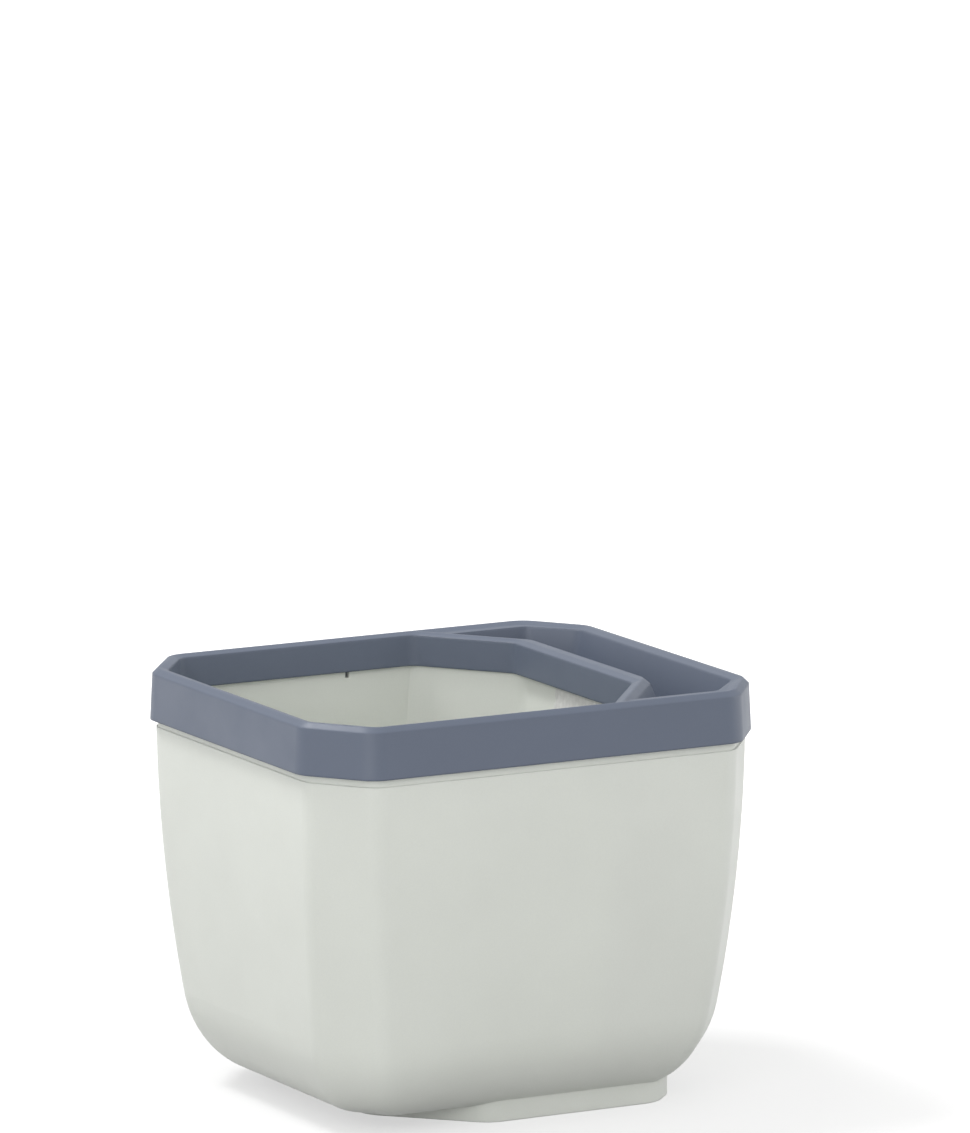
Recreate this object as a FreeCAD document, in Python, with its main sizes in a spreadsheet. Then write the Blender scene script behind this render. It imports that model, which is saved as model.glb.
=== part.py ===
"""Self-watering herb planter: rim ring, textile wick and pot with a water side."""
import FreeCAD
import Part
import Sketcher
import math
import os

doc = FreeCAD.newDocument("herb_planter")
sheet = doc.addObject("Spreadsheet::Sheet", "Sizes")

# All lengths in millimetres; origin on the ground under the middle of the pot, +Z up, front at -Y.
SIZES = {
    # pot
    "pot_height": 131.0,
    "pot_half_x": 77.4,
    "pot_half_y": 69.4,
    "pot_chamfer_x": 14.5,
    "pot_chamfer_y": 18.6,
    "pot_corner_radius": 8.0,
    "pot_wall": 1.5,
    "band_height": 16.6,
    "ledge_out": 0.4,
    "side_inset": 5.8,
    "bottom_radius": 22.9,
    "bottom_rise": 30.6,
    "body_bottom": 4.3,
    "floor_thickness": 2.4,
    "slit_width": 1.55,
    "slit_depth": 10.8,
    "slit_mouth": 0.8,
    "slit_shift_x": 0.65,
    "slit_shift_y": 2.6,
    # partition between herb side and water side
    "water_side": 29.7,
    "partition_thickness": 1.2,
    "partition_lean": 7.6,
    "partition_slant_y": 32.4,
    "partition_corner_radius": 7.0,
    "saddle_drop": 3.2,
    "saddle_from_corner": 3.0,
    "notch_top": 9.8,
    "notch_bottom": 4.8,
    "notch_depth": 5.3,
    "notch_from_corner": 9.2,
    "herb_floor": 22.0,
    "herb_floor_thickness": 2.0,
    # foot under the body, as distances inwards from the band
    "foot_in_y": 19.3,
    "foot_in_right": 20.2,
    "foot_in_left": 35.9,
    "foot_chamfer": 28.7,
    "foot_round": 14.0,
    "foot_wall": 3.0,
    # rim ring
    "rim_over_x": 2.6,
    "rim_over_y": 1.8,
    "rim_chamfer_x": 15.4,
    "rim_chamfer_y": 20.0,
    "rim_corner_radius": 9.0,
    "rim_height": 16.3,
    "rim_draft": 0.7,
    "rim_bevel": 1.7,
    "rim_crown": 2.1,
    "rim_seat": 0.1,
    "rim_fit": 0.3,
    "collar_thickness": 1.6,
    "collar_bottom": 5.5,
    "crest_width": 1.3,
    "crown_drop": 0.9,
    "ridge_collar_reach": 3.7,
    "ridge_collar_wall": 1.6,
    "ridge_slant_reach": 1.9,
    "ridge_slant_wall": 0.95,
    "ridge_crest": 1.6,
    "ridge_bevel": 1.9,
    "tray_gap": 1.5,
    "tray_wall": 1.5,
    "tray_end_gap": 3.7,
    "tray_depth": 9.5,
    "tray_round": 6.0,
    "outlet_radius": 3.0,
    "outlet_in_x": 15.5,
    "outlet_in_y": 23.4,
    # wick
    "wick_width": 30.0,
    "wick_thickness": 0.9,
    "wick_gap": 0.25,
    "wick_bend": 6.5,
    "wick_end_gap": 18.7,
    "wick_foot_gap": 2.7,
    "wick_end_round": 5.0,
}


class Size:
    """A number together with the sheet expression that gives it."""

    def __init__(self, text, value):
        self.text = text
        self.value = value

    def __add__(self, other):
        other = size(other)
        return Size("(" + self.text + " + " + other.text + ")", self.value + other.value)

    def __sub__(self, other):
        other = size(other)
        return Size("(" + self.text + " - " + other.text + ")", self.value - other.value)

    def __mul__(self, factor):
        factor = size(factor)
        return Size(self.text + " * " + factor.text, self.value * factor.value)

    def __truediv__(self, factor):
        factor = size(factor)
        return Size("(" + self.text + " / " + factor.text + ")", self.value / factor.value)


def size(item):
    """Wrap a plain number so that it can stand in an expression."""
    if isinstance(item, Size):
        return item
    if item < 0:
        return Size("(" + format(item, ".6f") + ")", item)
    return Size(format(item, ".6f"), item)


S = {}
for row, (alias, number) in enumerate(SIZES.items(), start=1):
    sheet.set("A" + str(row), alias)
    sheet.set("B" + str(row), str(number))
    sheet.setAlias("B" + str(row), alias)
    S[alias] = Size("Sizes." + alias, number)
doc.recompute()


def plane(body, role):
    """One of the body's own origin planes."""
    for feature in body.Origin.OriginFeatures:
        if feature.Role == role:
            return feature
    raise ValueError(role)


def new_body(name):
    body = doc.addObject("PartDesign::Body", name)
    body.Label = name
    return body


def new_sketch(body, name, role, offset):
    """A sketch on an origin plane, moved along the plane's normal."""
    sketch = body.newObject("Sketcher::SketchObject", name)
    sketch.AttachmentSupport = (plane(body, role), [""])
    sketch.MapMode = "FlatFace"
    offset = size(offset)
    sketch.AttachmentOffset = FreeCAD.Placement(FreeCAD.Vector(0, 0, offset.value), FreeCAD.Rotation())
    sketch.setExpression("AttachmentOffset.Base.z", offset.text)
    return sketch


def bind(sketch, kind, args, dimension):
    """A dimension in a sketch that follows the sheet."""
    dimension = size(dimension)
    index = sketch.addConstraint(Sketcher.Constraint(kind, *args, dimension.value))
    sketch.setExpression("Constraints[" + str(index) + "]", dimension.text)
    return index


def octagon(body, name, z, left, right, half_y, left_chamfer, right_chamfer, radius):
    """A rectangle with four chamfered and rounded corners, alike front and back."""
    left = size(left)
    right = size(right)
    half_y = size(half_y)
    lx, ly = size(left_chamfer[0]), size(left_chamfer[1])
    rx, ry = size(right_chamfer[0]), size(right_chamfer[1])
    radius = size(radius)
    sketch = new_sketch(body, name, "XY_Plane", z)
    corners = [
        (-left.value + lx.value, -half_y.value),
        (right.value - rx.value, -half_y.value),
        (right.value, -half_y.value + ry.value),
        (right.value, half_y.value - ry.value),
        (right.value - rx.value, half_y.value),
        (-left.value + lx.value, half_y.value),
        (-left.value, half_y.value - ly.value),
        (-left.value, -half_y.value + ly.value),
    ]
    points = [FreeCAD.Vector(x, y, 0) for x, y in corners]
    count = len(points)
    rounds = []
    for i in range(count):
        here = points[i]
        before = (points[i - 1] - here).normalize()
        after = (points[(i + 1) % count] - here).normalize()
        half = math.acos(before.dot(after)) / 2
        reach = radius.value / math.tan(half)
        start = here + before * reach
        end = here + after * reach
        middle = here + (before + after).normalize() * (radius.value / math.sin(half))
        rounds.append((start, end, middle))
    for i in range(count):
        first = rounds[i]
        second = rounds[(i + 1) % count]
        sketch.addGeometry(Part.LineSegment(first[1], second[0]), False)
        start, end, middle = second
        begin = math.atan2(start.y - middle.y, start.x - middle.x)
        finish = math.atan2(end.y - middle.y, end.x - middle.x)
        if finish < begin:
            finish += 2 * math.pi
        circle = Part.Circle(middle, FreeCAD.Vector(0, 0, 1), radius.value)
        sketch.addGeometry(Part.ArcOfCircle(circle, begin, finish), False)
    for i in range(count):
        line = 2 * i
        arc = 2 * i + 1
        follow = (2 * i + 2) % (2 * count)
        sketch.addConstraint(Sketcher.Constraint("Tangent", line, 2, arc, 1))
        sketch.addConstraint(Sketcher.Constraint("Tangent", arc, 2, follow, 1))
    front, right_line, back, left_line = 0, 4, 8, 12
    sketch.addConstraint(Sketcher.Constraint("Horizontal", front))
    sketch.addConstraint(Sketcher.Constraint("Vertical", right_line))
    sketch.addConstraint(Sketcher.Constraint("Horizontal", back))
    sketch.addConstraint(Sketcher.Constraint("Vertical", left_line))
    bind(sketch, "DistanceY", (front, 1, -1, 1), half_y)
    bind(sketch, "DistanceY", (-1, 1, back, 1), half_y)
    bind(sketch, "DistanceX", (-1, 1, right_line, 1), right)
    bind(sketch, "DistanceX", (left_line, 1, -1, 1), left)
    chamfers = [
        (points[1], points[2], front, right_line, 2, (0, 1), rx, ry),
        (points[3], points[4], right_line, back, 6, (1, 0), rx, ry),
        (points[5], points[6], back, left_line, 10, (1, 0), lx, ly),
        (points[7], points[0], left_line, front, 14, (0, 1), lx, ly),
    ]
    for begin, finish, line_a, line_b, slant, order, across, along in chamfers:
        marks = [sketch.addGeometry(Part.Point(begin), True), sketch.addGeometry(Part.Point(finish), True)]
        sketch.addConstraint(Sketcher.Constraint("PointOnObject", marks[0], 1, line_a))
        sketch.addConstraint(Sketcher.Constraint("PointOnObject", marks[1], 1, line_b))
        sketch.addConstraint(Sketcher.Constraint("PointOnObject", marks[0], 1, slant))
        sketch.addConstraint(Sketcher.Constraint("PointOnObject", marks[1], 1, slant))
        low_x, high_x = sorted(zip((begin.x, finish.x), marks))
        low_y, high_y = sorted(zip((begin.y, finish.y), marks))
        bind(sketch, "DistanceX", (low_x[1], 1, high_x[1], 1), across)
        bind(sketch, "DistanceY", (low_y[1], 1, high_y[1], 1), along)
    bind(sketch, "Radius", (1,), radius)
    for i in range(1, count):
        sketch.addConstraint(Sketcher.Constraint("Equal", 1, 2 * i + 1))
    return sketch


def loft(body, name, sections, ruled):
    """A solid skinned through sketches from the first to the last."""
    feature = body.newObject("PartDesign::AdditiveLoft", name)
    feature.Profile = sections[0]
    feature.Sections = sections[1:]
    feature.Ruled = ruled
    for sketch in sections:
        sketch.Visibility = False
    return feature


def polygon(sketch, points):
    """Closed straight outline; each corner is held by its own two dimensions from the sketch origin."""
    count = len(points)
    spots = [FreeCAD.Vector(x.value, y.value, 0) for x, y in points]
    for i in range(count):
        sketch.addGeometry(Part.LineSegment(spots[i], spots[(i + 1) % count]), False)
    for i in range(count):
        sketch.addConstraint(Sketcher.Constraint("Coincident", i, 2, (i + 1) % count, 1))
    for i, (x, y) in enumerate(points):
        for kind, part in (("DistanceX", x), ("DistanceY", y)):
            if part.value < 0:
                bind(sketch, kind, (i, 1, -1, 1), size(0) - part)
            else:
                bind(sketch, kind, (-1, 1, i, 1), part)


def pad(body, name, sketch, length, midplane):
    feature = body.newObject("PartDesign::Pad", name)
    feature.Profile = sketch
    feature.Midplane = midplane
    length = size(length)
    feature.Length = length.value
    feature.setExpression("Length", length.text)
    sketch.Visibility = False
    return feature


def round_edges(body, name, feature, edges, radius):
    result = body.newObject("PartDesign::Fillet", name)
    result.Base = (feature, edges)
    radius = size(radius)
    result.Radius = radius.value
    result.setExpression("Radius", radius.text)
    return result


def boolean(kind, name, first, second):
    """Cut or common of two solids."""
    result = doc.addObject("Part::" + kind, name)
    result.Base = first
    result.Tool = second
    return result


def fuse(name, shapes):
    result = doc.addObject("Part::MultiFuse", name)
    result.Shapes = shapes
    return result


# An outline moved inwards by one millimetre keeps this much less of its chamfer.
CHAMFER_LOSS = 0.0353
# The partition's slanted ends run this far along X for each millimetre along Y.
SLANT_RUN = 0.8
# A copy of the partition's outline one millimetre away has its corner this much further along Y.
CORNER_SHIFT = 0.352


def inward(chamfer, distance):
    """Chamfer of an outline moved inwards by a distance, outwards if negative."""
    keep = size(1) - size(distance) * CHAMFER_LOSS
    return (chamfer[0] * keep, chamfer[1] * keep)


pot_chamfer = (S["pot_chamfer_x"], S["pot_chamfer_y"])
rim_chamfer = (S["rim_chamfer_x"], S["rim_chamfer_y"])
rim_half_x = S["pot_half_x"] + S["rim_over_x"]
rim_half_y = S["pot_half_y"] + S["rim_over_y"]
partition_x = S["pot_half_x"] - S["water_side"]
partition_corner_y = S["pot_half_y"] - S["partition_slant_y"]

# Side of the body: shares of height and of inset from the ledge down to where the bottom rounding starts.
SIDE_SHARES = ((0.0, 0.0), (0.25, 0.0912), (0.5, 0.2883), (0.75, 0.5912), (1.0, 1.0))
# Bottom rounding, part of an ellipse: angles down to the flat bottom, and the chamfer kept at each.
LEAN_ANGLE = 10.1
ROUND_ANGLES = ((LEAN_ANGLE, 1.0), (25.0, 0.98), (45.0, 0.894), (62.0, 0.776), (77.0, 0.649), (90.0, 0.53))

ledge = S["pot_height"] - S["band_height"]


def rounding_height(base, rise, angle):
    return base + rise * (1 - math.sin(math.radians(angle)))


def rounding_inset(radius, angle):
    return radius * (math.cos(math.radians(LEAN_ANGLE)) - math.cos(math.radians(angle)))


def body_shell(name, floor, bottom_radius, bottom_rise, wall, top, ledge_out, corner):
    """Outer or inner form of the pot, from its floor to the given top."""
    body = new_body(name)
    side_start = rounding_height(floor, bottom_rise, LEAN_ANGLE)
    tall = ledge - side_start
    swing = S["side_inset"] + ledge_out
    sections = []
    for i, (drop, share) in enumerate(SIDE_SHARES):
        inset = swing * share - ledge_out + wall
        half_x = S["pot_half_x"] - inset
        half_y = S["pot_half_y"] - inset
        chamfer = inward(pot_chamfer, wall)
        z = ledge - tall * drop
        label = name + "_side_" + str(i)
        sections.append(octagon(body, label, z, half_x, half_x, half_y, chamfer, chamfer, corner))
    loft(body, name + "_side", sections, False)
    sections = []
    for i, (angle, keep) in enumerate(ROUND_ANGLES):
        inset = S["side_inset"] + rounding_inset(bottom_radius, angle) + wall
        half_x = S["pot_half_x"] - inset
        half_y = S["pot_half_y"] - inset
        part = inward(pot_chamfer, wall)
        chamfer = (part[0] * keep, part[1] * keep)
        radius = corner * (0.4 + 0.6 * keep)
        z = rounding_height(floor, bottom_rise, angle)
        label = name + "_low_" + str(i)
        sections.append(octagon(body, label, z, half_x, half_x, half_y, chamfer, chamfer, radius))
    loft(body, name + "_low", sections, False)
    half_x = S["pot_half_x"] - wall
    half_y = S["pot_half_y"] - wall
    chamfer = inward(pot_chamfer, wall)
    sections = [
        octagon(body, name + "_band_0", ledge - 0.01, half_x, half_x, half_y, chamfer, chamfer, corner),
        octagon(body, name + "_band_1", top, half_x, half_x, half_y, chamfer, chamfer, corner),
    ]
    loft(body, name + "_band", sections, True)
    return body


def slant_corner_y(face, slant):
    """Corner between a face standing off the partition and slanted ends that stand off by their own distance."""
    return partition_corner_y + slant * CORNER_SHIFT - (face - slant) / SLANT_RUN


def herb_side(body, name, z, face, slant):
    """Outline of the herb side at one height: only its right side and right chamfers bound anything."""
    half_y = S["pot_half_y"] + 10
    left = S["pot_half_x"] + 10
    along = half_y - slant_corner_y(face, slant)
    plain = (size(12), size(15))
    cut = (along * SLANT_RUN, along)
    return octagon(body, name, z, left, partition_x + face, half_y, plain, cut, S["partition_corner_radius"])


def herb_prism(name, low, high, offset):
    """The space on the herb side of a face standing off the partition's herb face."""
    body = new_body(name)
    slope = S["partition_lean"] / (S["pot_height"] - S["herb_floor"])
    low_face = size(offset) - slope * (S["pot_height"] - low)
    high_face = size(offset) + slope * (high - S["pot_height"])
    sections = [
        herb_side(body, name + "_low", low, low_face, low_face),
        herb_side(body, name + "_high", high, high_face, high_face),
    ]
    loft(body, name + "_form", sections, True)
    return body


# Pot
over = S["pot_height"] + 2
floor_top = S["body_bottom"] + S["floor_thickness"]
inner_radius = S["bottom_radius"] - S["pot_wall"]
pot_outer = body_shell(
    "pot_outer", S["body_bottom"], S["bottom_radius"], S["bottom_rise"], size(0), S["pot_height"],
    S["ledge_out"], S["pot_corner_radius"],
)
pot_inner = body_shell(
    "pot_inner", floor_top, inner_radius, S["bottom_rise"] - S["floor_thickness"], S["pot_wall"], over,
    size(0), S["pot_corner_radius"] - S["pot_wall"],
)
herb_space = herb_prism("herb_space", S["herb_floor"], over, size(0))
herb_block = herb_prism(
    "herb_block", S["herb_floor"] - S["herb_floor_thickness"], over + 1, S["partition_thickness"],
)
herb_cavity = boolean("Common", "herb_cavity", pot_inner, herb_space)
water_cavity = boolean("Cut", "water_cavity", pot_inner, herb_block)

# Foot ring: straight along the front and back, rounded on the right, slanted towards the left.
foot = new_body("foot")
foot_half_y = S["pot_half_y"] - S["foot_in_y"]
foot_right = S["pot_half_x"] - S["foot_in_right"]
foot_left = S["pot_half_x"] - S["foot_in_left"]


def foot_outline(name, z, less, radius):
    half_y = foot_half_y - less
    slant = S["foot_chamfer"] - less * 0.586
    turn = (S["foot_round"] * 0.75, S["foot_round"] * 0.75)
    return octagon(foot, name, z, foot_left - less, foot_right - less, half_y, (slant, slant), turn, radius)


foot_top = floor_top + 0.8
foot_radius = S["foot_round"] * 0.75
sections = [
    foot_outline("foot_low", size(0), size(0), foot_radius),
    foot_outline("foot_high", foot_top, size(0), foot_radius),
]
loft(foot, "foot_form", sections, True)
foot_hollow = new_body("foot_hollow")


def hollow_outline(name, z):
    less = S["foot_wall"]
    half_y = foot_half_y - less
    slant = S["foot_chamfer"] - less * 0.586
    turn = (S["foot_round"] * 0.6, S["foot_round"] * 0.6)
    left = foot_left - less
    right = foot_right - less
    return octagon(foot_hollow, name, z, left, right, half_y, (slant, slant), turn, S["foot_round"] * 0.55)


loft(
    foot_hollow, "foot_hollow_form",
    [hollow_outline("hollow_low", size(-2)), hollow_outline("hollow_high", foot_top + 2)],
    True,
)
foot_ring = boolean("Cut", "foot_ring", foot, foot_hollow)

# Slits in the four walls of the band, wider at the mouth and a little to one side of the middle.
slit_low = S["pot_height"] - S["slit_depth"]
slit_neck = S["pot_height"] - S["slit_mouth"]
slit_half = S["slit_width"] / 2


def slit_profile(sketch):
    wide = slit_half + S["slit_mouth"]
    shoulder = slit_half + S["slit_mouth"] * 0.3
    shoulder_z = S["pot_height"] - S["slit_mouth"] * 0.35
    zero = size(0)
    polygon(sketch, [
        (zero - slit_half * 0.8, slit_low),
        (slit_half * 0.8, slit_low),
        (slit_half, slit_neck),
        (shoulder, shoulder_z),
        (wide, S["pot_height"]),
        (wide, over),
        (zero - wide, over),
        (zero - wide, S["pot_height"]),
        (zero - shoulder, shoulder_z),
        (zero - slit_half, slit_neck),
    ])


slits = []
for name, role, out, axis, shift in (
    ("slit_front", "XZ_Plane", S["pot_half_y"], "x", S["slit_shift_x"]),
    ("slit_back", "XZ_Plane", size(0) - S["pot_half_y"], "x", size(0) - S["slit_shift_x"]),
    ("slit_left", "YZ_Plane", size(0) - S["pot_half_x"], "y", S["slit_shift_y"]),
    ("slit_right", "YZ_Plane", S["pot_half_x"], "y", size(0) - S["slit_shift_y"]),
):
    slit = new_body(name)
    profile = new_sketch(slit, name + "_profile", role, out)
    slit_profile(profile)
    pad(slit, name + "_form", profile, S["pot_wall"] * 5, True)
    slit.setExpression("Placement.Base." + axis, shift.text)
    slits.append(slit)

# Lowered edge of the partition that carries the wick, with rounded ends.
saddle = new_body("saddle")
profile = new_sketch(saddle, "saddle_profile", "YZ_Plane", partition_x + S["partition_thickness"] / 2)
saddle_low = S["pot_height"] - S["saddle_drop"]
saddle_half_y = partition_corner_y - S["saddle_from_corner"]
polygon(profile, [
    (size(0) - saddle_half_y + S["saddle_drop"] * 0.9, saddle_low),
    (saddle_half_y - S["saddle_drop"] * 0.9, saddle_low),
    (saddle_half_y - S["saddle_drop"] * 0.35, saddle_low + S["saddle_drop"] * 0.25),
    (saddle_half_y - S["saddle_drop"] * 0.1, saddle_low + S["saddle_drop"] * 0.6),
    (saddle_half_y, S["pot_height"]),
    (saddle_half_y, over),
    (size(0) - saddle_half_y, over),
    (size(0) - saddle_half_y, S["pot_height"]),
    (size(0) - saddle_half_y + S["saddle_drop"] * 0.1, saddle_low + S["saddle_drop"] * 0.6),
    (size(0) - saddle_half_y + S["saddle_drop"] * 0.35, saddle_low + S["saddle_drop"] * 0.25),
])
pad(saddle, "saddle_form", profile, S["partition_thickness"] * 8, True)

# Notch in the slanted wall of the partition at the back.
notch = new_body("notch")
profile = new_sketch(notch, "notch_profile", "XZ_Plane", size(0))
notch_low = S["pot_height"] - S["notch_depth"]
polygon(profile, [
    (size(0) - S["notch_bottom"] / 2, notch_low),
    (S["notch_bottom"] / 2, notch_low),
    (S["notch_top"] / 2, S["pot_height"]),
    (S["notch_top"] / 2, over),
    (size(0) - S["notch_top"] / 2, over),
    (size(0) - S["notch_top"] / 2, S["pot_height"]),
])
pad(notch, "notch_form", profile, S["partition_thickness"] * 8, True)
slant_angle = math.degrees(math.atan2(1.0, -SLANT_RUN))
slant_x = math.cos(math.radians(slant_angle))
slant_y = math.sin(math.radians(slant_angle))
notch.Placement = FreeCAD.Placement(
    FreeCAD.Vector(0, 0, 0), FreeCAD.Rotation(FreeCAD.Vector(0, 0, 1), slant_angle)
)
notch_x = partition_x + S["partition_thickness"] / 2 + S["notch_from_corner"] * slant_x
notch_y = partition_corner_y + S["notch_from_corner"] * slant_y
notch.setExpression("Placement.Base.x", notch_x.text)
notch.setExpression("Placement.Base.y", notch_y.text)

pot_cutters = fuse("pot_cutters", [herb_cavity, water_cavity] + slits + [saddle, notch])
pot_full = fuse("pot_full", [pot_outer, foot_ring])
pot = boolean("Cut", "pot", pot_full, pot_cutters)
pot.Label = "pot"

# Rim ring, made with its lower edge at zero and then seated on the pot.
plate_low = S["rim_height"] - S["rim_crown"]
bevel_low = S["rim_height"] - S["rim_bevel"]
rim_top = S["rim_height"]


def ring_outline(body, name, z, half_x, half_y, chamfer, radius):
    return octagon(body, name, z, half_x, half_x, half_y, chamfer, chamfer, radius)


def pot_offset(body, name, z, distance, radius):
    """The pot's outline at the band moved inwards by a distance."""
    distance = size(distance)
    chamfer = inward(pot_chamfer, distance)
    return ring_outline(
        body, name, z, S["pot_half_x"] - distance, S["pot_half_y"] - distance, chamfer, radius,
    )


rim_outer = new_body("rim_outer")
steps = ((size(0), size(0)), (bevel_low, S["rim_draft"]), (rim_top, S["rim_draft"] + S["rim_bevel"]))
sections = []
for i, (z, less) in enumerate(steps):
    chamfer = inward(rim_chamfer, less)
    sections.append(ring_outline(
        rim_outer, "rim_outer_" + str(i), z, rim_half_x - less, rim_half_y - less,
        chamfer, S["rim_corner_radius"],
    ))
loft(rim_outer, "rim_outer_form", sections, True)

rim_under = new_body("rim_under")
sections = [
    pot_offset(rim_under, "rim_under_0", size(-2), size(0) - S["rim_fit"], S["pot_corner_radius"]),
    pot_offset(rim_under, "rim_under_1", plate_low, size(0) - S["rim_fit"], S["pot_corner_radius"]),
]
loft(rim_under, "rim_under_form", sections, True)

collar_out = S["pot_wall"] + S["rim_fit"]
collar_in = collar_out + S["collar_thickness"]
crest_in = rim_half_x - S["rim_draft"] - S["rim_bevel"] - S["crest_width"]
crest_in_offset = S["pot_half_x"] - crest_in
small_radius = S["pot_corner_radius"] * 0.6

collar_outside = new_body("collar_outside")
sections = [
    pot_offset(collar_outside, "collar_outside_0", S["collar_bottom"], collar_out, small_radius),
    pot_offset(collar_outside, "collar_outside_1", plate_low + 0.5, collar_out, small_radius),
]
loft(collar_outside, "collar_outside_form", sections, True)
collar_inside = new_body("collar_inside")
sections = [
    pot_offset(collar_inside, "collar_inside_0", size(0), collar_in, small_radius),
    pot_offset(collar_inside, "collar_inside_1", rim_top, collar_in, small_radius),
]
loft(collar_inside, "collar_inside_form", sections, True)


# The ridge is slimmer along the slanted ends: on its trough side by these shares, at its top and lower down.
SLANT_SHARE = 0.69
LOW_SLANT_SHARE = 0.95
ridge_limit = new_body("ridge_limit")
wall_face = S["ridge_collar_wall"] - S["ridge_collar_reach"]
slant_face = S["ridge_slant_wall"] - S["ridge_slant_reach"]
sections = [
    herb_side(ridge_limit, "ridge_limit_0", size(-1), wall_face, slant_face),
    herb_side(ridge_limit, "ridge_limit_1", rim_top + 1, wall_face, slant_face),
]
loft(ridge_limit, "ridge_limit_form", sections, True)
ridge_collar = boolean("Common", "ridge_collar", collar_outside, ridge_limit)
ridge_channel = S["partition_thickness"] + S["tray_gap"]
water_limit = new_body("water_limit")
sections = [
    herb_side(water_limit, "water_limit_0", size(-1), ridge_channel, ridge_channel * SLANT_SHARE),
    herb_side(water_limit, "water_limit_1", rim_top + 1, ridge_channel, ridge_channel * SLANT_SHARE),
]
loft(water_limit, "water_limit_form", sections, True)
collar_band = boolean("Cut", "collar_band", collar_outside, collar_inside)
water_collar = boolean("Cut", "water_collar", collar_band, water_limit)


def opening_outline(body, name, z, wider):
    """Outline of the herb opening, widened evenly by a distance."""
    wider = size(wider)
    inset = collar_in - wider
    half_y = S["pot_half_y"] - inset
    face = wider - S["ridge_collar_reach"]
    along = half_y - slant_corner_y(face, wider - S["ridge_slant_reach"])
    left_chamfer = inward(pot_chamfer, inset)
    right_chamfer = (along * SLANT_RUN, along)
    left = S["pot_half_x"] - inset
    return octagon(body, name, z, left, partition_x + face, half_y, left_chamfer, right_chamfer, small_radius)


slope_low = rim_top - S["crown_drop"]
slope_run = collar_in - crest_in_offset
opening = new_body("opening")
sections = [
    opening_outline(opening, "opening_0", size(-12), size(0)),
    opening_outline(opening, "opening_1", slope_low, size(0)),
    opening_outline(opening, "opening_2", rim_top + S["crown_drop"], slope_run * 2),
]
loft(opening, "opening_form", sections, True)

# Filling trough between ridge and outer wall: sides taper inwards to a rounded floor.
OUTER_TAPER = 0.26
RIDGE_TAPER = 0.38
ROUND_SPREAD = 0.9
tray_floor = size(0) - S["tray_depth"]


def tray_steps(top, floor, round_radius, taper):
    """Heights and insets from the top of a tapering side through the rounding to the floor."""
    steps = [(top, size(0))]
    straight = floor + round_radius
    for angle in (0.0, 15.0, 30.0, 45.0, 60.0, 75.0):
        z = floor + round_radius * (1 - math.sin(math.radians(angle)))
        extra = round_radius * (1 - math.cos(math.radians(angle))) * ROUND_SPREAD
        inset = (top - straight) * taper + extra
        steps.append((z, inset))
    return steps


def tray_outline(body, name, z, distance):
    """The pot's outline moved inwards, with the tray's ends drawn in further."""
    chamfer = inward(pot_chamfer, distance)
    along = chamfer[1] - S["tray_end_gap"] * 0.8
    half_y = S["pot_half_y"] - distance - S["tray_end_gap"]
    return ring_outline(body, name, z, S["pot_half_x"] - distance, half_y, (chamfer[0], along), small_radius)


def tray_form(name, steps, offset):
    """Tapering solid inside the outer wall."""
    body = new_body(name)
    sections = []
    for i, (z, inset) in enumerate(steps):
        sections.append(tray_outline(body, name + "_" + str(i), z, offset + inset))
    loft(body, name + "_form", sections, True)
    return body


def ridge_form(name, start, steps, offset):
    """Space on the herb side of the tray's sloping left side, from a start above it to below its floor."""
    body = new_body(name)
    sections = [herb_side(body, name + "_start", start[0], start[1], start[1] * SLANT_SHARE)]
    for i, (z, inset) in enumerate(steps):
        share = LOW_SLANT_SHARE if i else SLANT_SHARE
        face = offset + inset
        sections.append(herb_side(body, name + "_" + str(i), z, face, face * share))
    below = steps[-1][0] - 2
    sections.append(herb_side(body, name + "_end", below, face, face * share))
    loft(body, name + "_form", sections, True)
    return body


hull_top = plate_low + 0.3
hull_wide = tray_form("hull_wide", tray_steps(hull_top, tray_floor, S["tray_round"], OUTER_TAPER), collar_out)
hull_ridge = ridge_form(
    "hull_ridge", (rim_top, ridge_channel), tray_steps(hull_top, tray_floor, S["tray_round"], RIDGE_TAPER),
    ridge_channel,
)
hull = boolean("Cut", "hull", hull_wide, hull_ridge)

trough_floor = tray_floor + S["tray_wall"]
trough_round = S["tray_round"] - S["tray_wall"]
trough_wide = tray_form(
    "trough_wide", tray_steps(slope_low + 0.01, trough_floor, trough_round, OUTER_TAPER), collar_in,
)
trough_mouth = new_body("trough_mouth")
sections = [
    pot_offset(trough_mouth, "trough_mouth_0", slope_low, collar_in, small_radius),
    pot_offset(
        trough_mouth, "trough_mouth_1", rim_top + S["crown_drop"], collar_in - slope_run * 2, small_radius,
    ),
]
loft(trough_mouth, "trough_mouth_form", sections, True)
trough_full = fuse("trough_full", [trough_wide, trough_mouth])
trough_offset = ridge_channel + S["tray_wall"]
bevel_run = trough_offset - S["ridge_crest"]
trough_ridge = ridge_form(
    "trough_ridge", (rim_top + S["ridge_bevel"], S["ridge_crest"] - bevel_run),
    tray_steps(rim_top - S["ridge_bevel"], trough_floor, trough_round, RIDGE_TAPER), trough_offset,
)
trough = boolean("Cut", "trough", trough_full, trough_ridge)
outlet = doc.addObject("Part::Cylinder", "outlet")
outlet.setExpression("Radius", S["outlet_radius"].text)
outlet.setExpression("Height", (S["tray_depth"] + 4).text)
outlet.setExpression("Placement.Base.x", (S["pot_half_x"] - S["outlet_in_x"]).text)
outlet.setExpression("Placement.Base.y", (S["outlet_in_y"] - S["pot_half_y"]).text)
outlet.setExpression("Placement.Base.z", (tray_floor - 4).text)

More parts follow.
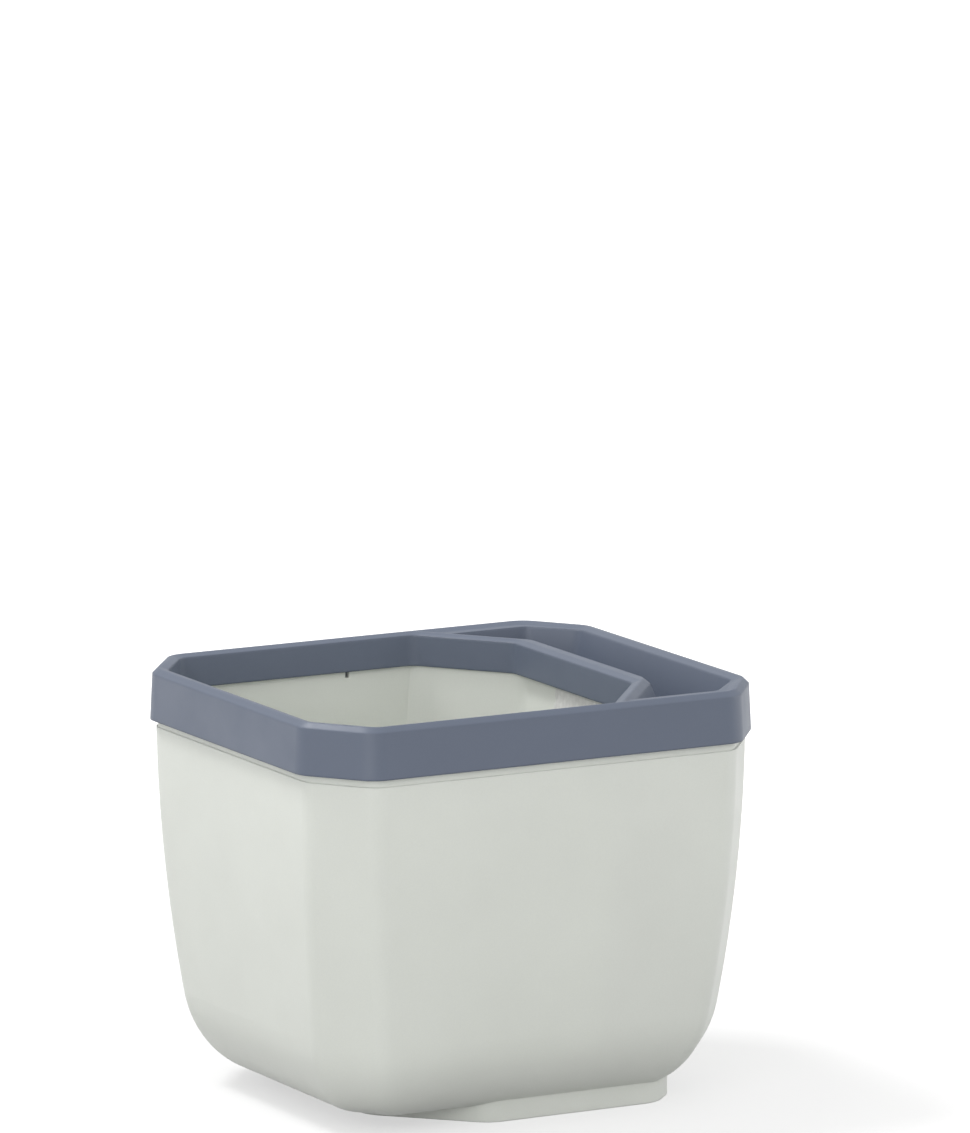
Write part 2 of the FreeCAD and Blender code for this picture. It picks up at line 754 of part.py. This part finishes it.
rim_shell = boolean("Cut", "rim_shell", rim_outer, rim_under)
rim_full = fuse("rim_full", [rim_shell, ridge_collar, water_collar, hull])
rim_cutters = fuse("rim_cutters", [opening, trough, outlet])
rim = boolean("Cut", "rim", rim_full, rim_cutters)
rim.Label = "rim"
rim_z = S["pot_height"] + S["rim_seat"] + S["rim_crown"] - S["rim_height"]
rim.Placement = FreeCAD.Placement(FreeCAD.Vector(0, 0, rim_z.value), FreeCAD.Rotation())
rim.setExpression("Placement.Base.z", rim_z.text)

# Wick: a strip led up the water side, over the partition, down the herb side and along the herb floor.
wick = new_body("wick")
half_thick = S["wick_thickness"] / 2
fold_inner = S["partition_thickness"] / 2 + S["wick_gap"]
fold_radius = fold_inner + half_thick
fold_drop = S["saddle_drop"] + 0.5
lean_slope = S["partition_lean"] / (S["pot_height"] - S["herb_floor"])
fold_x = partition_x + S["partition_thickness"] / 2 - lean_slope * fold_drop
fold_z = S["pot_height"] - fold_drop
back_x = fold_x + fold_radius
back_z = floor_top + S["wick_foot_gap"]
floor_end = S["pot_half_x"] - S["wick_end_gap"]
run_z = S["herb_floor"] + S["wick_gap"] + half_thick
lean = math.atan(lean_slope.value)
lean_deg = math.degrees(lean)
down = FreeCAD.Vector(-math.sin(lean), -math.cos(lean), 0)
fold_centre = FreeCAD.Vector(fold_x.value, fold_z.value, 0)
front_top = fold_centre + FreeCAD.Vector(-math.cos(lean), math.sin(lean), 0) * fold_radius.value
bend = S["wick_bend"].value
bend_centre_z = run_z.value + bend
bend_end_z = bend_centre_z + bend * math.sin(lean)
reach = (front_top.y - bend_end_z) / math.cos(lean)
front_low = front_top + down * reach
bend_centre = front_low - FreeCAD.Vector(math.cos(lean), -math.sin(lean), 0) * bend
floor_start = FreeCAD.Vector(bend_centre.x, run_z.value, 0)
path = new_sketch(wick, "wick_path", "XZ_Plane", size(0))
path.addGeometry(Part.LineSegment(
    FreeCAD.Vector(back_x.value, back_z.value, 0), FreeCAD.Vector(back_x.value, fold_z.value, 0)), False)
path.addGeometry(Part.ArcOfCircle(
    Part.Circle(fold_centre, FreeCAD.Vector(0, 0, 1), fold_radius.value), 0.0, math.pi - lean), False)
path.addGeometry(Part.LineSegment(front_top, front_low), False)
path.addGeometry(Part.ArcOfCircle(
    Part.Circle(bend_centre, FreeCAD.Vector(0, 0, 1), bend), -math.pi / 2, -lean), False)
path.addGeometry(Part.LineSegment(
    floor_start, FreeCAD.Vector(-floor_end.value, run_z.value, 0)), False)
path.addConstraint(Sketcher.Constraint("Tangent", 0, 2, 1, 1))
path.addConstraint(Sketcher.Constraint("Tangent", 1, 2, 2, 1))
path.addConstraint(Sketcher.Constraint("Tangent", 2, 2, 3, 2))
path.addConstraint(Sketcher.Constraint("Tangent", 3, 1, 4, 1))
path.addConstraint(Sketcher.Constraint("Vertical", 0))
path.addConstraint(Sketcher.Constraint("Horizontal", 4))
bind(path, "DistanceX", (-1, 1, 0, 1), back_x)
bind(path, "DistanceY", (-1, 1, 0, 1), back_z)
bind(path, "DistanceY", (-1, 1, 1, 3), fold_z)
bind(path, "Radius", (1,), fold_radius)
bind(path, "Radius", (3,), S["wick_bend"])
bind(path, "DistanceY", (-1, 1, 4, 1), run_z)
bind(path, "DistanceX", (4, 2, -1, 1), floor_end)
index = path.addConstraint(Sketcher.Constraint("Angle", -1, 1, 2, 2, math.radians(90 - lean_deg)))
path.setExpression("Constraints[" + str(index) + "]", "90 deg - atan(" + lean_slope.text + ")")
strip = new_sketch(wick, "wick_strip", "XY_Plane", back_z)
half_wide = S["wick_width"] / 2
polygon(strip, [
    (back_x - half_thick, size(0) - half_wide),
    (back_x + half_thick, size(0) - half_wide),
    (back_x + half_thick, half_wide),
    (back_x - half_thick, half_wide),
])
sweep = wick.newObject("PartDesign::AdditivePipe", "wick_sweep")
sweep.Profile = strip
sweep.Spine = (path, ["Edge1", "Edge2", "Edge3", "Edge4", "Edge5"])
path.Visibility = False
strip.Visibility = False
doc.recompute()

# The four corners of the strip are rounded.
corner_edges = []
for number, edge in enumerate(sweep.Shape.Edges, start=1):
    if abs(edge.Length - S["wick_thickness"].value) < 0.01:
        corner_edges.append("Edge" + str(number))
round_edges(wick, "wick_corners", sweep, corner_edges, S["wick_end_round"])
doc.recompute()

NODES = {"pot": pot, "rim": rim, "wick": wick}
faults = []
for item in doc.Objects:
    if "Invalid" in item.State or "Error" in item.State:
        faults.append(item.Name + " " + str(item.State))
for name, item in NODES.items():
    if item.Shape.isNull() or not item.Shape.isValid() or len(item.Shape.Solids) != 1:
        faults.append(name + " is not one valid solid")
if faults:
    raise RuntimeError("; ".join(faults))

os.makedirs("parts", exist_ok=True)
for name, item in NODES.items():
    item.Shape.exportStep("parts/" + name + ".step")
    box = item.Shape.BoundBox
    print(name, "volume", round(item.Shape.Volume / 1000, 1), "cm3", [round(v, 2) for v in (
        box.XMin, box.XMax, box.YMin, box.YMax, box.ZMin, box.ZMax)])
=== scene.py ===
"""Looks of the self-watering herb planter: moulded pot, moulded rim ring and woven textile wick."""

import math

import bpy
import numpy as np
from mathutils import Matrix, Vector


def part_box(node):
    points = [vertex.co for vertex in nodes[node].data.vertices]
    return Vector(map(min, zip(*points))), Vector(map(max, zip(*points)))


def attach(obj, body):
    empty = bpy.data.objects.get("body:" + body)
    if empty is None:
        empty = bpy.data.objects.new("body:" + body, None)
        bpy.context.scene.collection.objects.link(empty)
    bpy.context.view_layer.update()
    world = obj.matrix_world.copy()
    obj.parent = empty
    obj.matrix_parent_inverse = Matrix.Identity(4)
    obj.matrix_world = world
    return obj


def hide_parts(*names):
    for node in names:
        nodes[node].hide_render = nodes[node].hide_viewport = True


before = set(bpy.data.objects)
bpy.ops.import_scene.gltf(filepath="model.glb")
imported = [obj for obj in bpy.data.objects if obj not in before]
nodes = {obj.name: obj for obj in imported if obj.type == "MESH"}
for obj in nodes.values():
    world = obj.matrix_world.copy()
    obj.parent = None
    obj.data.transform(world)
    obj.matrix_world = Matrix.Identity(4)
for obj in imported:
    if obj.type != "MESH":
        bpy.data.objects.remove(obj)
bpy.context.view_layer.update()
scene = bpy.context.scene
scene.view_settings.view_transform = "Standard"

MM = 0.001

POT_COLOUR = (0.680, 0.700, 0.655)
RIM_COLOUR = (0.110, 0.132, 0.180)
WICK_COLOUR = (0.62, 0.62, 0.605)
FLOOR_COLOUR = (0.4, 0.4, 0.4)


# Material helpers: each adds nodes to a material's tree and links them.
def new_material(name):
    material = bpy.data.materials.new(name)
    material.use_nodes = True
    tree = material.node_tree
    tree.nodes.clear()
    return material, tree


def add(tree, kind, **settings):
    node = tree.nodes.new(kind)
    for key, value in settings.items():
        setattr(node, key, value)
    return node


def noise(tree, vector, scale, detail=3.0, rough=0.55):
    node = add(tree, "ShaderNodeTexNoise")
    node.inputs["Scale"].default_value = scale
    node.inputs["Detail"].default_value = detail
    node.inputs["Roughness"].default_value = rough
    tree.links.new(vector, node.inputs["Vector"])
    return node.outputs["Fac"]


def spread(tree, value, low, high, start=0.3, end=0.7):
    node = add(tree, "ShaderNodeMapRange")
    node.inputs["From Min"].default_value = start
    node.inputs["From Max"].default_value = end
    node.inputs["To Min"].default_value = low
    node.inputs["To Max"].default_value = high
    tree.links.new(value, node.inputs["Value"])
    return node.outputs["Result"]


def combine(tree, operation, a, b):
    node = add(tree, "ShaderNodeMath", operation=operation)
    for socket, value in zip(node.inputs, (a, b)):
        if isinstance(value, (int, float)):
            socket.default_value = value
        else:
            tree.links.new(value, socket)
    return node.outputs["Value"]


def ramp(tree, value, stops):
    node = add(tree, "ShaderNodeValToRGB")
    elements = node.color_ramp.elements
    elements[0].position, elements[0].color = stops[0][0], (*stops[0][1], 1.0)
    elements[1].position, elements[1].color = stops[-1][0], (*stops[-1][1], 1.0)
    for position, colour in stops[1:-1]:
        element = elements.new(position)
        element.color = (*colour, 1.0)
    tree.links.new(value, node.inputs["Fac"])
    return node.outputs["Color"]


def bump(tree, height, distance, strength=1.0, normal=None):
    node = add(tree, "ShaderNodeBump")
    node.inputs["Strength"].default_value = strength
    node.inputs["Distance"].default_value = distance
    tree.links.new(height, node.inputs["Height"])
    if normal is not None:
        tree.links.new(normal, node.inputs["Normal"])
    return node.outputs["Normal"]


def shade(colour, factor):
    return tuple(channel * factor for channel in colour)


def show(tree, shader):
    out = add(tree, "ShaderNodeOutputMaterial")
    tree.links.new(shader, out.inputs["Surface"])


def principled(tree, paint, gloss, normal, constants):
    """The piece's shader: patterns are linked, and what is the same all over is set on its own socket."""
    shader = add(tree, "ShaderNodeBsdfPrincipled")
    for socket, value in constants.items():
        shader.inputs[socket].default_value = value
    tree.links.new(paint, shader.inputs["Base Color"])
    tree.links.new(gloss, shader.inputs["Roughness"])
    tree.links.new(normal, shader.inputs["Normal"])
    show(tree, shader.outputs["BSDF"])


# Shares of each pattern in the plastic's and the cotton's tone, and how far the plastic's gloss varies.
CLOUD_SHARE = 0.62
SPECK_SHARE = 0.38
GLOSS_RANGE = 0.05
# In the cotton the ply share and the raised share are painted shade: darker in the grooves between plies and
# where the yarn lies lower.
PLY_SHARE = 0.22
PAINTED_SHADE_SHARE = 0.55
PATCH_SHARE = 0.23
FUZZ_SHARE = 0.6


def moulded_plastic(name, colour, edge_radius, roughness, glow):
    """Injection-moulded plastic: fine grain, faint clouds, uneven gloss, soft edges, light let through."""
    material, tree = new_material(name)
    place = add(tree, "ShaderNodeTexCoord").outputs["Object"]
    clouds = spread(tree, noise(tree, place, scale=26.0), 0.0, CLOUD_SHARE)
    specks = spread(tree, noise(tree, place, scale=1900.0, detail=2.0), 0.0, SPECK_SHARE)
    tone = combine(tree, "ADD", clouds, specks)
    paint = ramp(tree, tone, [(0.0, shade(colour, 0.97)), (0.5, colour), (1.0, shade(colour, 1.03))])
    uneven = noise(tree, place, scale=70.0, detail=4.0)
    gloss = spread(tree, uneven, roughness - GLOSS_RANGE, roughness + GLOSS_RANGE)
    edges = add(tree, "ShaderNodeBevel", samples=6)
    edges.inputs["Radius"].default_value = edge_radius
    swell = noise(tree, place, scale=22.0, detail=1.0)
    waves = bump(tree, swell, distance=0.25 * MM, strength=0.5, normal=edges.outputs["Normal"])
    grain = noise(tree, place, scale=2600.0, detail=2.0)
    skin = bump(tree, grain, distance=0.012 * MM, strength=0.7, normal=waves)
    constants = {
        "IOR": 1.49,
        "Subsurface Weight": glow,
        "Subsurface Radius": (1.0, 1.0, 1.0),
        "Subsurface Scale": 2.0 * MM,
    }
    principled(tree, paint, gloss, skin, constants)
    return material


def woven_cotton(name, colour):
    """Woven cotton yarn: plied threads along each strand with a fine fuzz, and painted shade, darker in the
    grooves between plies and between strands.
    """
    material, tree = new_material(name)
    place = add(tree, "ShaderNodeTexCoord").outputs["Object"]
    strand = add(tree, "ShaderNodeUVMap", uv_map="strand").outputs["UV"]
    wave = add(tree, "ShaderNodeTexWave", wave_type="BANDS", bands_direction="DIAGONAL")
    wave.inputs["Scale"].default_value = 1.35
    wave.inputs["Distortion"].default_value = 2.2
    wave.inputs["Detail"].default_value = 2.0
    tree.links.new(strand, wave.inputs["Vector"])
    plies = wave.outputs["Fac"]
    # Painted shade: how raised the yarn is at each point, so that it is drawn darker where it lies low
    # between strands.
    painted_shade_height = add(tree, "ShaderNodeAttribute", attribute_name="painted_shade_height").outputs["Fac"]
    fuzz = noise(tree, place, scale=3800.0, rough=0.7)
    patches = spread(tree, noise(tree, place, scale=120.0), 0.0, PATCH_SHARE)
    # Painted shade in the tone: the ply bands darken the grooves between plies and the yarn's height darkens
    # the hollows between strands; the patches are the cotton's own uneven tone.
    thread = combine(tree, "MULTIPLY", plies, PLY_SHARE)
    raised = combine(tree, "MULTIPLY", painted_shade_height, PAINTED_SHADE_SHARE)
    tone = combine(tree, "ADD", combine(tree, "ADD", thread, raised), patches)
    tones = [(0.0, shade(colour, 0.84)), (0.45, shade(colour, 0.98)), (1.0, shade(colour, 1.05))]
    paint = ramp(tree, tone, tones)
    height = combine(tree, "ADD", plies, combine(tree, "MULTIPLY", fuzz, FUZZ_SHARE))
    nap = bump(tree, height, distance=0.06 * MM, strength=0.8)
    constants = {
        "Specular IOR Level": 0.15,
        "Sheen Weight": 0.12,
        "Sheen Roughness": 0.6,
        "Subsurface Weight": 0.4,
        "Subsurface Radius": (1.0, 1.0, 1.0),
        "Subsurface Scale": 1.0 * MM,
    }
    principled(tree, paint, spread(tree, fuzz, 0.86, 0.98), nap, constants)
    return material


# Pot and rim ring keep their CAD meshes.
pot_plastic = moulded_plastic("pot_plastic", POT_COLOUR, edge_radius=0.5 * MM, roughness=0.46, glow=0.35)
rim_plastic = moulded_plastic("rim_plastic", RIM_COLOUR, edge_radius=1.1 * MM, roughness=0.45, glow=0.0)
for node_name, plastic in (("pot", pot_plastic), ("rim", rim_plastic)):
    nodes[node_name].data.materials.clear()
    nodes[node_name].data.materials.append(plastic)


# The wick: one woven tape that stands in the water, folds over the partition and lies along the herb floor.
# Its legs, ends, top and width are those of the CAD strip that it replaces. Sizes are in millimetres.
wick_low, wick_high = ([value / MM for value in corner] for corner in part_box("wick"))
HALF_THICK = 0.45
HALF_WIDTH = (wick_high[1] - wick_low[1]) / 2
BACK_LEG = wick_high[0] - HALF_THICK
BACK_FOOT = wick_low[2]
FOLD_TOP = wick_high[2] - HALF_THICK
RUN_END = wick_low[0]
RUN_HEIGHT = 22.7
# The partition, and the leg on its herb side, lean by this much per unit of height.
LEAN = 7.6 / 109.0
FOLD_RADIUS = 1.3
CREASE_RADIUS = 0.5
BEND_RADIUS = 11.5
END_ROUND = 5.0

# Weave: pitch of the warp yarns, pitch of the weft's loops along an edge, and two weft picks to a loop.
WARP_PITCH = 2.07
LOOP_STEP = 4.1
PICK_PITCH = LOOP_STEP / 2
# Depth of the dips between loops, of those between yarns, and width of the looped border.
SCALLOP = 0.75
RELIEF = 0.25
SELVEDGE = 1.7
# Widths over which the tape's thickness rolls off at its edges and ends, and the share left at the very edge.
EDGE_ROLL = 0.5
END_ROLL = 0.4
EDGE_SHARE = 0.12
# Shares of the relief: the thinnest yarn, the weft at its sides, its rise to the middle, and the border.
THIN_YARN = 0.8
WEFT_SIDE = 0.22
WEFT_CROWN = 0.12
BORDER_HEIGHT = 0.6
# Power that fills out the round of a yarn or loop, and the share of thickness lost between loops.
FULL_ROUND = 0.7
LOOP_THINNING = 0.5
# Unevenness of warp and weft: size, rate along, rate across and phase of each wave.
WARP_WAVES = ((0.2, 0.37, 0.21, 1.3), (0.12, 0.83, -0.4, 4.1))
WEFT_WAVES = ((0.22, 0.23, 0.61, 0.0), (0.14, -0.47, 1.1, 2.0))
# Unevenness of the loops: size and rate of their drift along the edge, least share and range of their depth.
LOOP_DRIFT = 0.05
LOOP_DRIFT_RATE = 0.31
LOOP_LEAST = 0.6
LOOP_RANGE = 0.8
# Mesh: step along the tape, columns across it, and how closely they crowd towards its edges.
ROW_STEP = 0.38
COLUMNS = 92
CROWDING = 0.86 * math.pi / 2


def wick_route():
    """Straight runs and arcs of the tape's middle line in the XZ plane, from the foot in the water.

    Each has a length, a start and a heading, and an arc has the way to its centre and its radius as well.
    """
    lean = math.atan(LEAN)
    steep = math.pi / 2 - lean
    upward, downward, herbward = np.array(((0.0, 1.0), (0.0, -1.0), (-1.0, 0.0)))
    leg_down = np.array((-math.sin(lean), -math.cos(lean)))
    leg_out = np.array((-math.cos(lean), math.sin(lean)))

    # The leg on the herb side is tangent to the round fold, and its line meets the fold's top in a crease.
    fold_start = np.array((BACK_LEG, FOLD_TOP - FOLD_RADIUS))
    touch = fold_start + FOLD_RADIUS * (herbward + leg_out)
    crease = touch - leg_down * (FOLD_TOP - touch[1]) / math.cos(lean)
    trim = CREASE_RADIUS * math.tan(steep / 2)
    top_start = np.array((BACK_LEG - FOLD_RADIUS, FOLD_TOP))
    crease_start = crease - herbward * trim
    leg_start = crease + leg_down * trim

    # The leg ends a little above the bend, and one longer row of the mesh spans the step.
    bend_middle = RUN_HEIGHT + BEND_RADIUS
    bend_rise = BEND_RADIUS * math.sin(lean)
    leg_length = (leg_start[1] - bend_middle - bend_rise) / math.cos(lean)
    leg_end = leg_start + leg_down * leg_length
    bend_start = np.array((leg_end[0], bend_middle - bend_rise))
    run_start = np.array((leg_end[0] - BEND_RADIUS * math.cos(lean), RUN_HEIGHT))
    return [
        (fold_start[1] - BACK_FOOT, np.array((BACK_LEG, BACK_FOOT)), upward, None, None),
        (FOLD_RADIUS * math.pi / 2, fold_start, upward, herbward, FOLD_RADIUS),
        (top_start[0] - crease_start[0], top_start, herbward, None, None),
        (CREASE_RADIUS * steep, crease_start, herbward, downward, CREASE_RADIUS),
        (leg_length, leg_start, leg_down, None, None),
        (BEND_RADIUS * steep, bend_start, leg_down, leg_out, BEND_RADIUS),
        (run_start[0] - RUN_END, run_start, herbward, None, None),
    ]


def place_on(stretch, distance):
    """Point of a stretch at a distance from its start, and the normal to the right of its heading."""
    _, start, ahead, inward, radius = stretch
    if radius is None:
        point = start + ahead * distance
        heading = ahead
    else:
        angle = distance / radius
        point = start + radius * (math.sin(angle) * ahead + (1.0 - math.cos(angle)) * inward)
        heading = math.cos(angle) * ahead + math.sin(angle) * inward
    return point, (heading[1], -heading[0])


def walk(stretches, step):
    """Even steps along the stretches: distance, point and normal of each."""
    lengths = np.array([stretch[0] for stretch in stretches])
    ends = np.cumsum(lengths)
    starts = ends - lengths
    along = np.linspace(0.0, ends[-1], int(round(ends[-1] / step)) + 1)
    which = np.searchsorted(ends[:-1], along)
    placed = [place_on(stretches[k], distance - starts[k]) for k, distance in zip(which, along)]
    points = np.array([point for point, _ in placed])
    normals = np.array([normal for _, normal in placed])
    return along, points, normals


def scatter(i, j):
    """A fixed number from 0 to 1 for each pair of counts."""
    mixed = np.sin(i * 12.9898 + j * 78.233) * 43758.5453
    return mixed - np.floor(mixed)


def drift(waves, u, v):
    return sum(size * np.sin(along * v + across * u + phase) for size, along, across, phase in waves)


def tape_edges(along):
    """Half-width and loop height along both edges: the weft turns in a loop at each edge in turn."""
    from_end = np.minimum(np.minimum(along, along[-1] - along), END_ROUND)
    ends = END_ROUND - np.sqrt(np.maximum(END_ROUND**2 - (END_ROUND - from_end) ** 2, 0.0))
    edges = []
    for start in (LOOP_STEP / 4, -LOOP_STEP / 4):
        turn = (along + start) / LOOP_STEP + LOOP_DRIFT * np.sin(LOOP_DRIFT_RATE * along + start)
        uneven = LOOP_LEAST + LOOP_RANGE * scatter(np.floor(turn), start)
        loops = np.abs(np.sin(math.pi * turn)) ** FULL_ROUND
        edges.append((HALF_WIDTH - SCALLOP * uneven * (1.0 - loops) - ends, loops))
    return edges


def plain_weave(u, v, border):
    """Counts of yarns and picks, and for both faces how raised each point is and whether a warp yarn shows.

    Warp yarns run along the tape and pass over and under the weft in turn, a little unevenly.
    """
    yarns = (u + drift(WARP_WAVES, u, v)) / WARP_PITCH
    picks = (v + drift(WEFT_WAVES, u, v)) / PICK_PITCH
    yarn = np.floor(yarns + 0.5)
    pick = np.floor(picks + 0.5)
    warp_wave = np.cos(math.pi * (picks + yarn))
    weft_wave = np.cos(math.pi * (yarns + pick))
    warp_round = 1.0 - np.abs(2.0 * (yarns - yarn)) ** 2
    weft_round = 1.0 - np.abs(2.0 * (picks - pick)) ** 2
    fullness = THIN_YARN + (1.0 - THIN_YARN) * scatter(yarn, pick)
    faces = []
    for side in (1.0, -1.0):
        warp = np.maximum(0.5 + 0.5 * side * warp_wave, 0.0) ** FULL_ROUND * warp_round
        weft = np.maximum(0.5 - 0.5 * side * weft_wave, 0.0) * (WEFT_SIDE + WEFT_CROWN * weft_round)
        raised = np.maximum(np.maximum(warp, weft) * fullness, BORDER_HEIGHT * border)
        faces.append((raised, warp > weft))
    return yarns, picks, faces


def closed_quads(rows, columns):
    """Quads of two grids of points, one over the other, and of the band that joins their borders."""
    count = rows * columns
    grid = np.arange(count).reshape(rows, columns)
    quads = np.stack([grid[:-1, :-1], grid[:-1, 1:], grid[1:, 1:], grid[1:, :-1]], axis=-1).reshape(-1, 4)
    border = np.concatenate([grid[0, :], grid[1:, -1], grid[-1, -2::-1], grid[-2:0:-1, 0]])
    following = np.roll(border, -1)
    band = np.stack([following, border, border + count, following + count], axis=-1)
    return np.concatenate([quads, quads[:, ::-1] + count, band])


def wick_mesh():
    """The woven tape as a closed mesh, and its length."""
    along, points, normals = walk(wick_route(), ROW_STEP)
    (left_half, left_loops), (right_half, right_loops) = tape_edges(along)
    across = np.sin(np.linspace(-1.0, 1.0, COLUMNS + 1) * CROWDING) / math.sin(CROWDING)
    left = across[None, :] < 0.0
    half = np.where(left, left_half[:, None], right_half[:, None])
    loops = np.where(left, left_loops[:, None], right_loops[:, None])
    u = half * across[None, :]
    v = np.broadcast_to(along[:, None], u.shape)
    selvedge = np.clip((np.abs(u) - half + SELVEDGE) / SELVEDGE, 0.0, 1.0)
    yarns, picks, faces = plain_weave(u, v, selvedge * loops)

    edge = np.clip((half - np.abs(u)) / EDGE_ROLL, 0.0, 1.0)
    tip = np.clip(np.minimum(along, along[-1] - along) / END_ROLL, 0.0, 1.0)[:, None]
    roll = np.sqrt(1.0 - (1.0 - edge) ** 2) * np.sqrt(1.0 - (1.0 - tip) ** 2)
    body = (EDGE_SHARE + (1.0 - EDGE_SHARE) * roll) * (1.0 - LOOP_THINNING * selvedge * (1.0 - loops))
    sheets = []
    for sign, (raised, _) in zip((1.0, -1.0), faces):
        thick = sign * (HALF_THICK - RELIEF * (1.0 - raised)) * body
        x = points[:, 0, None] + normals[:, 0, None] * thick
        z = points[:, 1, None] + normals[:, 1, None] * thick
        sheets.append(np.stack([x, u, z], axis=-1).reshape(-1, 3))
    coords = np.concatenate(sheets) * MM

    mesh = bpy.data.meshes.new("wick_tape")
    mesh.from_pydata(coords.tolist(), [], closed_quads(*u.shape).tolist())
    mesh.polygons.foreach_set("use_smooth", np.ones(len(mesh.polygons), dtype=bool))
    # How raised each point is, kept on the mesh for the cotton's painted shade between strands.
    heights = np.concatenate([raised.ravel() for raised, _ in faces])
    painted_shade_height = mesh.attributes.new("painted_shade_height", "FLOAT", "POINT")
    painted_shade_height.data.foreach_set("value", heights.astype(np.float32))
    on_warp = np.concatenate([warp_shows.ravel() for _, warp_shows in faces])
    counts = np.tile(np.stack([yarns.ravel(), picks.ravel()], axis=-1), (2, 1))
    strand = np.where(on_warp[:, None], counts, counts[:, ::-1])
    corner = np.zeros(len(mesh.loops), dtype=np.int32)
    mesh.loops.foreach_get("vertex_index", corner)
    uv = mesh.uv_layers.new(name="strand")
    uv.data.foreach_set("uv", strand[corner].astype(np.float32).ravel())
    mesh.update()
    return mesh, along[-1]


mesh, wick_length = wick_mesh()
mesh.materials.append(woven_cotton("wick_cotton", WICK_COLOUR))
wick = bpy.data.objects.new("wick_tape", mesh)
scene.collection.objects.link(wick)
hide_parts("wick")
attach(wick, "wick")


# Floor: pale paper that takes the shadow. Seen by the camera, in gloss or through clear material, it is
# lifted towards white: by the near lift up to the near distance from the middle, and by the far lift past
# the far distance. Distances are in metres.
FLOOR_HALF = 7.0
FLOOR_DROP = 0.0001
FLOOR_NEAR = 0.12
FLOOR_FAR = 0.55
FLOOR_LIFT_NEAR = 0.56
FLOOR_LIFT_FAR = 0.9


def floor_paper():
    material, tree = new_material("floor_paper")
    place = add(tree, "ShaderNodeTexCoord").outputs["Object"]
    rays = add(tree, "ShaderNodeLightPath")
    seen = combine(tree, "MAXIMUM", rays.outputs["Is Camera Ray"], rays.outputs["Is Glossy Ray"])
    seen = combine(tree, "MAXIMUM", seen, rays.outputs["Is Transmission Ray"])
    tones = [(0.3, shade(FLOOR_COLOUR, 0.97)), (0.7, FLOOR_COLOUR)]
    paper = ramp(tree, noise(tree, place, scale=3.0), tones)
    diffuse = add(tree, "ShaderNodeBsdfDiffuse")
    tree.links.new(paper, diffuse.inputs["Color"])
    away = add(tree, "ShaderNodeVectorMath", operation="LENGTH")
    tree.links.new(place, away.inputs[0])
    pale = spread(tree, away.outputs["Value"], FLOOR_LIFT_NEAR, FLOOR_LIFT_FAR, FLOOR_NEAR, FLOOR_FAR)
    lift = add(tree, "ShaderNodeEmission")
    tree.links.new(combine(tree, "MULTIPLY", seen, pale), lift.inputs["Strength"])
    both = add(tree, "ShaderNodeAddShader")
    tree.links.new(diffuse.outputs["BSDF"], both.inputs[0])
    tree.links.new(lift.outputs["Emission"], both.inputs[1])
    show(tree, both.outputs["Shader"])
    return material


ground = bpy.data.meshes.new("floor")
ground_corners = [(x * FLOOR_HALF, y * FLOOR_HALF, 0.0) for x, y in ((-1, -1), (1, -1), (1, 1), (-1, 1))]
ground.from_pydata(ground_corners, [], [(0, 1, 2, 3)])
ground.materials.append(floor_paper())
floor = bpy.data.objects.new("floor", ground)
floor.location.z = -FLOOR_DROP
scene.collection.objects.link(floor)


# Light: an even sky and three square lamps, all as far from the point that they aim at.
SKY = 0.78
LAMPS = {
    # name: (degrees round from the front, degrees up, width in metres, power in watts)
    "key_back_left": (-135.0, 60.0, 0.7, 42.0),
    "soft_front_left": (-45.0, 15.0, 1.8, 25.0),
    "soft_right": (75.0, 15.0, 1.8, 17.0),
}
LAMP_DISTANCE = 2.7
LAMP_AIM = Vector((0.0, 0.0, 0.18))


def outward(turn, rise):
    """The way out from the middle, by degrees round from the front and degrees up."""
    turn = math.radians(turn)
    rise = math.radians(rise)
    return Vector((math.cos(rise) * math.sin(turn), -math.cos(rise) * math.cos(turn), math.sin(rise)))


world = bpy.data.worlds.new("studio")
scene.world = world
world.use_nodes = True
sky = world.node_tree.nodes["Background"]
sky.inputs["Color"].default_value = (1.0, 1.0, 1.0, 1.0)
sky.inputs["Strength"].default_value = SKY

for lamp_name, (turn, rise, width, power) in LAMPS.items():
    away = outward(turn, rise)
    light = bpy.data.lights.new(lamp_name, "AREA")
    light.shape = "SQUARE"
    light.size = width
    light.energy = power
    lamp = bpy.data.objects.new(lamp_name, light)
    lamp.location = LAMP_AIM + away * LAMP_DISTANCE
    lamp.rotation_euler = away.to_track_quat("Z", "Y").to_euler()
    scene.collection.objects.link(lamp)


# Camera: the photograph's view, a long lens from the front left, a little above. The focal length and the
# photograph's height are in its pixels, the other lengths in metres.
CAMERA_TURN = -28.539
CAMERA_RISE = 10.190
CAMERA_DISTANCE = 3.28973
CAMERA_RIGHT = 0.011025
CAMERA_UP = 0.008659
CAMERA_AIM = Vector((0.0, 0.0, 0.15815))
FOCAL_PIXELS = 10502.9
PHOTO_HEIGHT = 1133.0
SENSOR_HEIGHT = 36.0

back = outward(CAMERA_TURN, CAMERA_RISE)
right = Vector((math.cos(math.radians(CAMERA_TURN)), math.sin(math.radians(CAMERA_TURN)), 0.0))
up = back.cross(right)
lens = bpy.data.cameras.new("camera")
lens.sensor_fit = "VERTICAL"
lens.sensor_height = SENSOR_HEIGHT
lens.lens = FOCAL_PIXELS / PHOTO_HEIGHT * SENSOR_HEIGHT
lens.clip_end = 50.0
camera = bpy.data.objects.new("camera", lens)
spot = back * CAMERA_DISTANCE + right * CAMERA_RIGHT + up * CAMERA_UP + CAMERA_AIM
camera.matrix_world = Matrix.Translation(spot) @ Matrix((right, up, back)).transposed().to_4x4()
scene.collection.objects.link(camera)
scene.camera = camera
